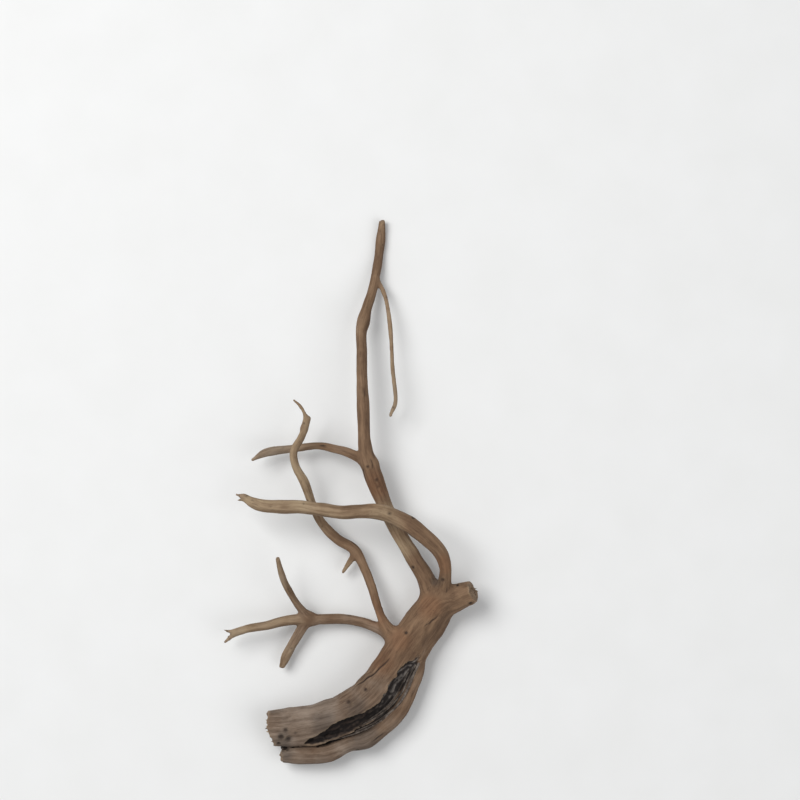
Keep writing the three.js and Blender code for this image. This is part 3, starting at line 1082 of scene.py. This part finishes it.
def root_wood():
    """Brown wood mixed by the masks towards sand, grey, orange, black and torn fibre. The streaks, fibres
    and stains that break the masks up swing evenly round nought."""
    finish = Finish("weathered_root")
    grain = finish.node("ShaderNodeAttribute", {"attribute_name": "grain"}, output="Vector")
    calm = 1 - finish.mask("seam")
    streak = calm * (finish.noise(finish.stretch(grain, STREAK_CELLS), 4, 0.6) - 0.5)
    fibre = calm * (finish.noise(finish.stretch(grain, FIBRE_CELLS), 3, 0.6) - 0.5)
    dash = calm * finish.noise(finish.stretch(grain, DASH_CELLS), 2, 0.5)
    stain = finish.cloud(95, 4, 0.55) - 0.5
    speckle = finish.cloud(700, 3, 0.6)
    crest = finish.mask("crest")

    tone = finish.ramp(streak + 0.4 * fibre + 0.6 * stain, -0.32, 0.34)
    sandy = finish.ramp(finish.mask("sandy") + 0.5 * stain + 0.25 * streak, 0.15, 0.85)
    grey = finish.ramp(finish.mask("grey") + 0.9 * stain, 0.2, 0.95)
    warm = finish.ramp(finish.mask("warm") * (1 + 1.2 * stain), 0.15, 0.9)
    # Stains and painted shade share one mask and one colour.
    stained = finish.ramp(finish.mask("stained") * (1 + 1.4 * stain), 0.2, 0.9)
    colour = finish.between(tone, BROWN)
    for share, ends in ((sandy, SAND), (grey * 0.8, GREY), (warm * 0.55, ORANGE), (stained * 0.55, STAIN_AND_SHADE)):
        colour = finish.mix(share, colour, finish.between(tone, ends))

    # Painted highlight on the crests, painted shade in small hollows and in broad ones, then pores and
    # specks.
    marks = (
        (crest, 0.55, 0.95, 0.24, PAINTED_CREST_HIGHLIGHT), (crest, 0.45, 0.1, 0.6, PAINTED_HOLLOW_SHADE),
        (finish.mask("bulk"), 0.5, 0.1, 0.55, BROAD_SHADE), (dash, 0.6, 0.72, 0.4, DASH),
        (speckle, 0.66, 0.76, 0.4, SPECK))
    for value, low, high, strength, mark in marks:
        colour = finish.mix(finish.ramp(value, low, high) * strength, colour, linear(*mark))

    across = {"Vector": finish.stretch(grain, (0, 1, 1))}
    from_heart = finish.node("ShaderNodeVectorMath", {"operation": "LENGTH"}, across, output="Value")
    ring_at = finish.node("ShaderNodeCombineXYZ", None, {"X": 1.1 * from_heart + 1.2 * stain + 0.6})
    ringed = finish.ramp(fibre + 0.8 * (finish.noise(ring_at, 3, 0.6) - 0.5), -0.2, 0.2)
    colour = finish.mix(finish.mask("torn") * 0.8, colour, finish.between(ringed, FRESH_BREAK))
    # The cleft: black rot under painted shade that deepens with the depth, and grey strings at its upper
    # end, lighter on their ridges.
    ridge = finish.ramp(crest + 0.5 * streak + 0.35 * fibre, 0.35, 0.85)
    black, strings = finish.between(ridge, BLACK_ROT_AND_SHADE), finish.between(ridge, STRINGY_ROT)
    rot_and_shade = finish.mix(finish.mask("stringy"), black, strings)
    colour = finish.mix(finish.ramp(finish.mask("dark") + 0.3 * fibre, 0.12, 0.75), colour, rot_and_shade)
    colour = finish.mix(finish.ramp(finish.mask("crack"), 0.1, 0.7) * 0.8, colour, linear(*DEEP))
    colour = finish.mix(finish.mask("scar") * 0.85, colour, linear(*DEEP))
    height = 0.55 * fibre + 0.45 * streak + 0.25 * speckle
    return finish.done(colour, 0.9 - 0.2 * tone, relief=(0.55, 0.35 * MM, height))


root_skin.data.materials.append(root_wood())
print("finish:", root_skin.data.materials[0].name)

# %% [markdown]
# ## Strings in the cleft
# A few thin rootlets lie like strings in the cleft. A bevelled curve could make them, but carrying a ring
# of points along each path gives closed ends at once. Only their plan is drawn; their height comes from
# the wood, so that they rest on it.

# %% Tubes, and the top of the wood
def wood_top(x, y):
    """Height of the topmost skin of the wood over places in plan, from the sign change of the field
    in the grid column nearest to each."""
    column = wood[tuple(np.rint((np.stack([x, y]) - grid_low[:2, None]) / GRID_STEP).astype(int))]
    top = column.shape[1] - 1 - (column < 0)[:, ::-1].argmax(1)
    row = np.arange(len(x))
    below, over = column[row, top], column[row, top + 1]
    return grid_axes[2][top] + GRID_STEP * below / (below - over)


def tubes(rings, first=0):
    """Closed tubes from rings of points, an array of tube, ring, side and place: four-sided faces from
    ring to ring, and a many-sided face on each end. The points are counted from a first number on."""
    number = first + np.arange(rings[..., 0].size).reshape(rings.shape[:3])
    beside = np.roll(number, -1, 2)
    walls = np.stack([number[:, :-1], beside[:, :-1], beside[:, 1:], number[:, 1:]], -1).reshape(-1, 4)
    return rings.reshape(-1, 3), [*walls.tolist(), *number[:, 0, ::-1].tolist(), *number[:, -1].tolist()]


def rings_on(heart, radius, first, second, sides):
    """Rings of points carried along a heart: the radius times the cosine and sine of an even turn, along
    two directions across the heart."""
    turn = np.linspace(0, 2 * np.pi, sides, endpoint=False)[:, None]
    across = np.cos(turn) * first[..., None, :] + np.sin(turn) * second[..., None, :]
    return heart[..., None, :] + radius[..., None, None] * across


middle = np.array(CLEFT_FLOOR[3][:2])[:, None]
print("floor of the cleft:", wood_top(*middle).round(1), "mm high")

# %% Strings
STRINGS = [
    [[28.4, -71.8, 0.5], [26, -77, 0.6], [23.3, -83.5, 0.6], [19.8, -89.3, 0.55], [14.3, -94.4, 0.5],
     [8, -98.2, 0.4], [1.5, -101.2, 0.2]],
    [[27, -72.6, 0.35], [24.2, -78, 0.45], [21.3, -84.5, 0.45], [17, -89.8, 0.4], [11, -94.6, 0.35],
     [4.5, -98, 0.2]],
    [[24.8, -74, 0.3], [21.8, -79.5, 0.35], [18.4, -86, 0.35], [13.5, -91.5, 0.3], [7.5, -95.9, 0.2]],
    [[18, -91, 0.3], [12.6, -96.4, 0.4], [5.6, -100.4, 0.45], [-2, -103, 0.4], [-8.5, -104.6, 0.2]],
]
STRING_SIDES = 8
STRING_STEPS = 12
STRING_SUNK = 0.35
STRING_EASE = 9


def cleft_string(plan):
    """One string: its plan is smoothed, laid on the wood, and eased so that it bridges small dips."""
    fine = curve_through(np.array(plan, float), np.linspace(0, len(plan) - 1, STRING_STEPS * len(plan)))
    height = wood_top(fine[:, 0], fine[:, 1]) + STRING_SUNK * fine[:, 2]
    window = np.ones(STRING_EASE) / STRING_EASE
    height = np.convolve(np.pad(height, STRING_EASE // 2, mode="edge"), window, mode="valid")
    path = heart_of(np.column_stack([fine[:, :2], height, fine[:, 2]]))
    return rings_on(path.heart, path.radius, path.lift, path.aside, STRING_SIDES)[None]


string_points, string_faces = np.empty((0, 3)), []
for plan in STRINGS:
    more_points, more_faces = tubes(cleft_string(plan), len(string_points))
    string_points = np.vstack([string_points, more_points])
    string_faces += more_faces
cleft_strings = piece("cleft_strings", string_points, string_faces)
print(len(STRINGS), "strings,", len(string_faces), "faces")

# %% [markdown]
# ## Torn fibres
# Where wood breaks, slivers stand up along the grain: on the butt and the stub, at the split tips, and
# along the lip of the cleft. Hair could grow there, but it has no solid form, so each is a slim
# five-sided spike. A seeded draw picks points of the skin where the torn mask is high, and the spikes
# leave along the grain there.

# %% Slivers
SLIVER_SIDES = 5
SLIVER_SHARES = np.array([0.0, 0.3, 0.65, 1.0])
SLIVER_TAPER = np.array([1.0, 0.9, 0.65, 0.2])
SLIVER_LEAN = 0.3, 0.2, 0.93
SLIVER_BEND = 0.12
SLIVER_SPLAY = 0.08
SLIVER_LIFT = 0.06
SLIVER_SUNK = 0.5, 0.1
SLIVER_SEED = 31
TORN_LIMIT = 0.6
FLOOR_CLEARANCE = 0.6
BUTT_SPAN = 20
BREAK_SLIVERS = 60
BREAK_LENGTHS = 0.7, 1.4
BREAK_RADII = 0.2, 0.42
LIP_SLIVERS = 20
LIP_LENGTHS = 1.2, 3.0
LIP_RADII = 0.12, 0.2
LIP_DARKNESS = 0.25, 0.6
LIP_HEIGHT = 8.5
LIP_TINT = 0.4


def slivers(foot, way, bend, length, radius):
    """Spikes as closed tubes: rings at shares of the length along a way that bends off with the square
    of the share, each narrower than the one before."""
    share = SLIVER_SHARES[:, None]
    heart = foot[:, None] + length[:, None, None] * (share * way[:, None] + share ** 2 * bend[:, None])
    first = unit(np.cross(way, SLIVER_LEAN))[:, None]
    second = np.cross(way, first[:, 0])[:, None]
    return tubes(rings_on(heart, radius[:, None] * SLIVER_TAPER, first, second, SLIVER_SIDES))


def torn_fibres():
    """Slivers with their feet drawn among the torn points and the lip of the cleft. Each one's way is
    the grain's, out of a break or either way on the lip, plus a little of the normal and of chance."""
    draw = np.random.default_rng(SLIVER_SEED)
    low, high = LIP_DARKNESS
    dark, height = masks["dark"], points[:, 2]
    split_open = (masks["torn"] > TORN_LIMIT) & ((skin_strand == 0) | split_tip)
    breaks = np.flatnonzero(split_open & (height > FLOOR_CLEARANCE))
    lips = np.flatnonzero((dark > low) & (dark < high) & (height > LIP_HEIGHT))
    chosen = np.concatenate([draw.choice(breaks, BREAK_SLIVERS), draw.choice(lips, LIP_SLIVERS)])
    count = len(chosen)
    lip = np.arange(count) >= BREAK_SLIVERS
    leaving = np.where(lip, draw.choice([-1.0, 1.0], count), np.where(run[chosen] < BUTT_SPAN, -1.0, 1.0))
    leaving[split_tip[chosen]] = 1.0
    loose = draw.normal(size=(count, 3))
    off = SLIVER_LIFT * normals[chosen] + SLIVER_SPLAY * loose
    way = unit(leaving[:, None] * every.along[sample[chosen]] + off)
    length = np.where(lip, draw.uniform(*LIP_LENGTHS, count), draw.uniform(*BREAK_LENGTHS, count))
    radius = np.where(lip, draw.uniform(*LIP_RADII, count), draw.uniform(*BREAK_RADII, count))
    back, below = SLIVER_SUNK
    foot = points[chosen] - back * way - below * normals[chosen]
    spikes, faces = slivers(foot, way, SLIVER_BEND * loose, length, radius)
    spikes[:, 2] = np.maximum(spikes[:, 2], 0)
    tint = np.where(lip, LIP_TINT, 1.0) * draw.uniform(0, 1, count)
    return spikes, faces, np.repeat(tint, len(spikes) // count)


fibre_points, fibre_faces, fibre_tint = torn_fibres()
torn_slivers = piece("torn_slivers", fibre_points, fibre_faces)
carry(torn_slivers, "tint", fibre_tint)
print(BREAK_SLIVERS + LIP_SLIVERS, "slivers,", len(fibre_faces), "faces")

# %% [markdown]
# ## The finish of strings and slivers
# Strings are as grey as the old wood round them, and slivers show straw and foxy brown. Both are small,
# so a cloudy mix with a tint for each sliver is enough.

# %% Fibre finishes
STRING_GREY = (66, 57, 51), (122, 112, 103)
STRAW = (66, 51, 39), (146, 122, 92)


def string_bark():
    """Grey brown with cloudy bands."""
    finish = Finish("string_bark")
    cloud = finish.cloud(420, 4, 0.6)
    colour = finish.between(finish.ramp(cloud, 0.35, 0.68), STRING_GREY)
    return finish.done(colour, 0.75 + 0.2 * cloud, relief=(0.5, 0.2 * MM, cloud))


def straw_fibre():
    """Each sliver's own tint between dark brown and straw, clouded a little."""
    finish = Finish("straw_fibre")
    cloud = finish.cloud(900, 3, 0.6)
    colour = finish.between(finish.ramp(finish.mask("tint") + 0.5 * (cloud - 0.5), 0.1, 1.0), STRAW)
    return finish.done(colour, 0.7 + 0.25 * cloud)


cleft_strings.data.materials.append(string_bark())
torn_slivers.data.materials.append(straw_fibre())
print("finishes:", [material.name for material in bpy.data.materials])

# %% [markdown]
# ## Joining the frame
# The skin rides on the root's one body and stands for its one solid, so the solid is no longer shown.
# Strings and slivers ride along.

# %% Ride on the frame
for made in (root_skin, cleft_strings, torn_slivers):
    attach(made, "root")
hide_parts("spiderwood_root")
